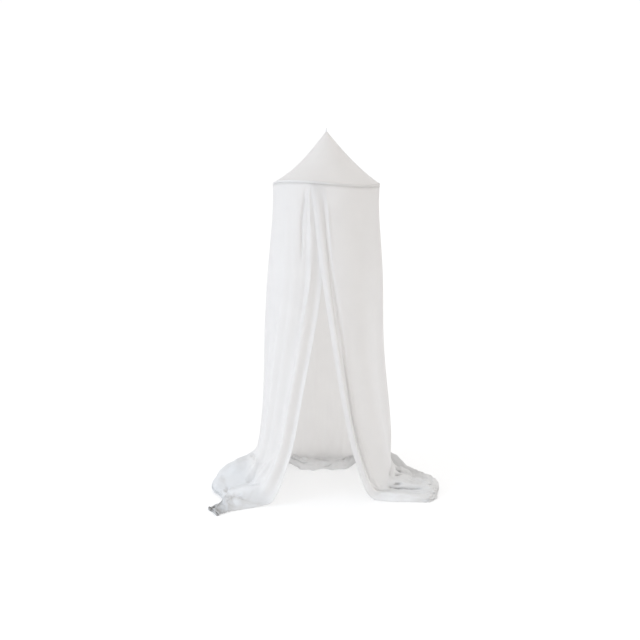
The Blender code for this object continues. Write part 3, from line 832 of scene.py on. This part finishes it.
def settled_moves():
    """Lets the cloth on the floor crumple by its own weight: how far each point moves."""
    shares = np.linspace(0, 1, SETTLE_COLUMNS)
    at = np.linspace(SETTLE_TOP, WALL_SPANS + RUN_SPANS, SETTLE_ROWS)
    start = curtain_grid(shares, at)
    start[..., 2] += FLOOR
    free = smooth_step(at, *SETTLE_FREE)[:, None] * np.ones(len(shares))
    rough = uneven(start, SETTLE_START_SIZE, SETTLE_SEED)[..., None]
    begun = start + SETTLE_START * free[..., None] * rough * np.array(SETTLE_START_WAYS)
    body = bpy.data.objects.new("settling", grid_mesh("settling", begun))
    bpy.context.scene.collection.objects.link(body)
    hold = body.vertex_groups.new(name="hold")
    grow = body.vertex_groups.new(name="grow")
    loose = free * column_of(LOOSE_CLOTH, 1, shares)
    extra = free * column_of(LOOSE_CLOTH, 2, shares) / MOST_EXTRA
    for index, (slack, growth) in enumerate(zip(loose.flat, extra.flat)):
        hold.add([index], 1 - HOLD_LOSS * slack, "REPLACE")
        grow.add([index], growth, "REPLACE")
    corners = np.array([
        [(x, y, FLOOR) for x in (-SETTLE_FLOOR, SETTLE_FLOOR)]
        for y in (SETTLE_FLOOR, -SETTLE_FLOOR)])
    floor = bpy.data.objects.new("settling_floor", grid_mesh("settling_floor", corners))
    bpy.context.scene.collection.objects.link(floor)
    floor.modifiers.new("floor", "COLLISION")
    floor.collision.thickness_outer = SETTLE_GAP
    floor.collision.cloth_friction = 20
    cloth = body.modifiers.new("cloth", "CLOTH")
    settings = cloth.settings
    settings.quality = 6
    settings.mass = 0.1
    settings.air_damping = 2.0
    settings.tension_stiffness = settings.compression_stiffness = 20
    settings.shear_stiffness = 8
    settings.bending_stiffness = 0.2
    settings.vertex_group_mass = "hold"
    settings.pin_stiffness = 0.3
    settings.effector_weights.gravity = GRAVITY
    settings.vertex_group_shrink = "grow"
    settings.shrink_min = 0.0
    settings.shrink_max = -MOST_EXTRA
    cloth.collision_settings.distance_min = SETTLE_GAP
    cloth.collision_settings.use_self_collision = True
    cloth.collision_settings.self_distance_min = SETTLE_SELF_GAP
    scene = bpy.context.scene
    scene.frame_start, scene.frame_end = 1, SETTLE_FRAMES
    cloth.point_cache.frame_start, cloth.point_cache.frame_end = 1, SETTLE_FRAMES
    for frame_number in range(1, SETTLE_FRAMES + 1):
        scene.frame_set(frame_number)
    shown = body.evaluated_get(bpy.context.evaluated_depsgraph_get()).to_mesh()
    ended = np.empty(len(shown.vertices) * 3, np.float32)
    shown.vertices.foreach_get("co", ended)
    ended = ended.reshape(start.shape).astype(float)
    bpy.data.objects.remove(body)
    bpy.data.objects.remove(floor)
    scene.frame_set(1)
    return ended - start


# ---------------------------------------------------------------- creases
def normals_of(points):
    """Unit normals of a grid of points, outwards on the wall and upwards on the floor."""
    normal = np.cross(np.gradient(points, axis=0), np.gradient(points, axis=1))
    return normal / np.maximum(np.linalg.norm(normal, axis=2, keepdims=True), 1e-9)


def crease_depth(across, down, line, half_width):
    """1 along a line on the cloth, falling to 0 at half_width from it and fading at its ends."""
    steps = np.linalg.norm(np.diff(line, axis=0), axis=1)
    starts = np.concatenate([[0], np.cumsum(steps)])
    nearest = np.full(across.shape, np.inf)
    place = np.zeros(across.shape)
    for (u0, v0), (u1, v1), step, start in zip(line[:-1], line[1:], steps, starts):
        t = np.clip(((across - u0) * (u1 - u0) + (down - v0) * (v1 - v0)) / step**2, 0, 1)
        away = np.hypot(across - u0 - t * (u1 - u0), down - v0 - t * (v1 - v0))
        closer = away < nearest
        nearest = np.where(closer, away, nearest)
        place = np.where(closer, (start + t * step) / starts[-1], place)
    ends = smooth_step(place, 0, CREASE_ENDS) * smooth_step(1 - place, 0, CREASE_ENDS)
    if starts[-1] < 2 * half_width:  # a dimple rather than a line
        ends = 1.0
    if half_width > WIDEST_SHARP:
        return bump(nearest, half_width) * ends
    return np.clip(1 - nearest / half_width, 0, 1) ** SHARPNESS * ends


def creased(points, shares, at, length):
    """The fine curtain with its creases, rumples and unevenness, and the painted shade of its deep
    creases, which also let less light through.
    """
    across = np.broadcast_to(shares * CURTAIN_WIDTH, length.shape)
    row_length = length.mean(axis=1)
    down = np.broadcast_to(row_length[:, None], length.shape)
    out = np.zeros(length.shape)
    back_crease_shade = np.zeros(length.shape)
    for creases, way in ((CREASES, 1), (BACK_CREASES, -1)):
        for half_width, height, line in creases:
            line = np.array([
                (share * CURTAIN_WIDTH, np.interp(span, at, row_length)) for share, span in line])
            depth = crease_depth(across, down, line, half_width)
            out += way * height * depth
            # the creases between the rolls at the back get at least this much painted shade
            if way < 0 and height < 0:
                back_crease_shade += BACK_CREASE_SHADE * depth
    pooled = smooth_step(at, POOL_STARTS + RUMPLES_LATER, POOL_FULL + RUMPLES_LATER)[:, None]
    hem = smooth_step(at, HEM_RUMPLES_FROM, WALL_SPANS + RUN_SPANS)[:, None]
    hem = 1 + (HEM_RUMPLES - 1) * hem
    rumple = np.zeros(length.shape)
    for seed, (width, part) in enumerate(RUMPLE_SIZES, RUMPLE_SEED):
        place = np.stack(
            [across / width, down / width / RUMPLE_LENGTH, np.zeros_like(across)], axis=-1)
        rumple += part * (RUMPLE_TOP - RUMPLE_FALL * np.abs(uneven(place, 1.0, seed)))
    out += pooled * hem * column_of(RUMPLES, 1, shares) * rumple
    # painted shade for deep creases, which also sets how much less light passes there
    crease_shade_and_layers = np.minimum(smooth_step(-out, PINCH_FROM, PINCH_FULL) + back_crease_shade, PINCH_MOST)
    hangs = (1 - pooled) * smooth_step(at, 0.0, UNEVEN_FULL)[:, None]
    place = np.stack([across, down * UNEVEN_NARROW, np.zeros_like(across)], axis=-1)
    out += UNEVEN_WALL * hangs * uneven(place, UNEVEN_SIZE, UNEVEN_SEED)
    return points + normals_of(points) * out[..., None], crease_shade_and_layers


# ---------------------------------------------------------------- curtain
def curtain_shares():
    """Columns of the fine curtain, closer at its front edges, with a close pair at each hem."""
    line, step = EDGE_HEM / CURTAIN_WIDTH, HEM_STEP / CURTAIN_WIDTH
    pairs = [line - step, line + step, 1 - line - step, 1 - line + step]
    even = np.linspace(0, 1, COLUMNS - len(pairs))
    return np.sort(np.concatenate([np.interp(even, *COLUMN_SPREAD[::-1]), pairs]))


def curtain_rows():
    """Rows of the fine curtain, as spline spans."""
    wall = np.linspace(0, WALL_SPANS - 1, WALL_ROWS, endpoint=False)
    pool = np.linspace(WALL_SPANS - 1, WALL_SPANS + RUN_SPANS, POOL_ROWS)
    return np.concatenate([wall, pool])


def build_curtain(cloth):
    """The curtain: its form at a fine pitch, settled on the floor and creased."""
    shares, at = curtain_shares(), curtain_rows()
    points = curtain_grid(shares, at)
    length = along_columns(points)
    points[..., 2] += FLOOR
    low = at > SETTLE_TOP
    rows = (at[low] - SETTLE_TOP) / (WALL_SPANS + RUN_SPANS - SETTLE_TOP) * (SETTLE_ROWS - 1)
    down = between(SETTLE_ROWS, rows)
    across = between(SETTLE_COLUMNS, shares * (SETTLE_COLUMNS - 1))
    points[low] += np.einsum("ia,abk,jb->ijk", down, settled_moves(), across, optimize=True)
    points, crease_shade_and_layers = creased(points, shares, at, length)
    points[..., 2] = np.maximum(points[..., 2], FLOOR + VOILE)
    mesh = grid_mesh("curtain_cloth", points)
    give_uv(mesh, np.broadcast_to(shares * CURTAIN_WIDTH, length.shape), length)
    edge = np.minimum(shares, 1 - shares) * CURTAIN_WIDTH * np.ones_like(length)
    foot = length[-1] - length
    give_value(mesh, "edge_distance", edge)
    give_value(mesh, "foot_distance", foot)
    layered = smooth_step(at, *LAYERED)[:, None] * np.ones_like(length)
    give_value(mesh, "layered", np.maximum(layered, crease_shade_and_layers))
    # painted shade over the cloth on the floor, from near the wall to towards the hem
    far = smooth_step(at, *PAINTED_POOL_SHADE_SPANS)[:, None]
    painted_pool_shade = column_of(PAINTED_POOL_SHADE, 1, shares) * (1 - far) + column_of(PAINTED_POOL_SHADE, 2, shares) * far
    give_value(mesh, "painted_pool_shade", layered * painted_pool_shade)
    give_value(mesh, "crease_shade_and_layers", crease_shade_and_layers)
    piece = link("curtain_cloth", mesh, cloth)
    thicken(piece, (edge < EDGE_HEM) | (foot < FOOT_HEM))
    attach(piece, "root")
    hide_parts("curtain")


# ---------------------------------------------------------------- roof
def build_roof(cloth):
    """The roof: a sagging cone that passes over the rod and ends in its rim."""
    over = HOOP_ROD + ROOF_CLEARANCE + CLOTH / 2
    outside = HOOP_RADIUS + over
    profile = []
    for i in range(ROOF_RINGS):
        x = i / ROOF_RINGS
        profile.append((ROOF_TIP_RADIUS + (outside - ROOF_TIP_RADIUS) * x, ROOF_HEIGHT * (1 - x)))
    for turn in map(math.radians, RIM_TURNS):
        profile.append((HOOP_RADIUS + over * math.cos(turn), over * math.sin(turn)))
    profile += [(outside - inwards, -RIM_DROP * drop) for inwards, drop in RIM_END]
    radius, high = np.array(profile).T
    azimuth = math.tau * np.arange(ROOF_SIDES) / ROOF_SIDES
    bend = np.array([hoop_level(a) for a in azimuth])
    bent = np.minimum(1, radius / HOOP_RADIUS) ** 2
    sag = ROOF_SAG - ROOF_SAG_LEFT * np.sin(azimuth)
    sagging = np.sin(math.pi * np.minimum(1, np.arange(len(radius)) / ROOF_RINGS))
    points = np.empty((len(radius), ROOF_SIDES, 3))
    points[..., 0] = radius[:, None] * np.sin(azimuth)
    points[..., 1] = -radius[:, None] * np.cos(azimuth)
    points[..., 2] = high[:, None] + bend * bent[:, None] - HOOK_TO_HOOP
    points[..., 2] -= ROOF_HEIGHT * sag * sagging[:, None]
    length = along_columns(points)
    mesh = grid_mesh("roof_cloth", points, closed=True)
    give_uv(mesh, azimuth * radius[:, None], length)
    give_value(mesh, "edge_distance", np.ones_like(length))
    give_value(mesh, "foot_distance", length[-1] - length)
    for name in ("layered", "painted_pool_shade", "crease_shade_and_layers"):
        give_value(mesh, name, np.zeros_like(length))
    piece = link("roof_cloth", mesh, cloth)
    thicken(piece, np.zeros_like(length))
    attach(piece, "root")
    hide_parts("roof")


# ---------------------------------------------------------------- stage, lights and camera
def build_stage():
    """A pale floor that curves up into a backdrop."""
    start = STAGE_BACK - STAGE_CURVE
    profile = [(-STAGE_FRONT, 0.0), (start, 0.0)]
    for i in range(1, STAGE_STEPS + 1):
        turn = math.pi / 2 * i / STAGE_STEPS
        out, up = STAGE_CURVE * math.sin(turn), STAGE_CURVE - STAGE_CURVE * math.cos(turn)
        profile.append((start + out, up))
    profile.append((STAGE_BACK, STAGE_TOP))
    points = np.array([
        [(x, y, FLOOR - STAGE_GAP + z) for x in (-STAGE_SIDE, STAGE_SIDE)] for y, z in profile])
    made, _, shader = new_material("pale_floor")
    shader.inputs["Base Color"].default_value = (STAGE_GREY, STAGE_GREY, STAGE_GREY, 1)
    shader.inputs["Roughness"].default_value = 0.9
    shader.inputs["Emission Color"].default_value = (1, 1, 1, 1)
    shader.inputs["Emission Strength"].default_value = STAGE_GLOW
    link("floor", grid_mesh("floor", points), made)


def build_lights():
    """Even light from all around, and a soft cooler one from the left front."""
    world = bpy.data.worlds.new("studio")
    bpy.context.scene.world = world
    world.use_nodes = True
    background = world.node_tree.nodes["Background"]
    background.inputs["Color"].default_value = (*WORLD_TINT, 1)
    background.inputs["Strength"].default_value = WORLD_LIGHT
    data = bpy.data.lights.new("key", "AREA")
    data.shape = "DISK"
    data.size = KEY_SIZE
    data.energy = KEY_POWER
    data.color = KEY_TINT
    made = bpy.data.objects.new("key", data)
    bpy.context.scene.collection.objects.link(made)
    place = Vector((KEY_X, KEY_Y, FLOOR + KEY_HEIGHT))
    aim = Vector((0.0, 0.0, FLOOR + LIT_HEIGHT))
    made.location = place
    made.rotation_euler = (place - aim).to_track_quat("Z", "Y").to_euler()


def build_camera():
    """A camera where the photographer stood."""
    data = bpy.data.cameras.new("camera")
    data.sensor_width = SENSOR
    data.lens = LENS_PIXELS / FRAME_WIDTH * SENSOR
    data.clip_end = CAMERA_SEES
    made = bpy.data.objects.new("camera", data)
    bpy.context.scene.collection.objects.link(made)
    made.location = (CAMERA_X, -CAMERA_BACK, FLOOR + CAMERA_HIGH)
    made.rotation_euler = (math.radians(90 - CAMERA_DOWN), 0, 0)
    bpy.context.scene.camera = made


def give_material(node, material):
    """Puts a material on a CAD node."""
    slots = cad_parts[node].data.materials
    slots.clear()
    slots.append(material)


def main():
    build_camera()
    build_lights()
    build_stage()
    bpy.context.scene.view_settings.view_transform = "Standard"
    cloth = voile()
    build_curtain(cloth)
    build_roof(cloth)
    give_material("hoop", rod_material())
    give_material("hanging_loop", tape_material())


main()
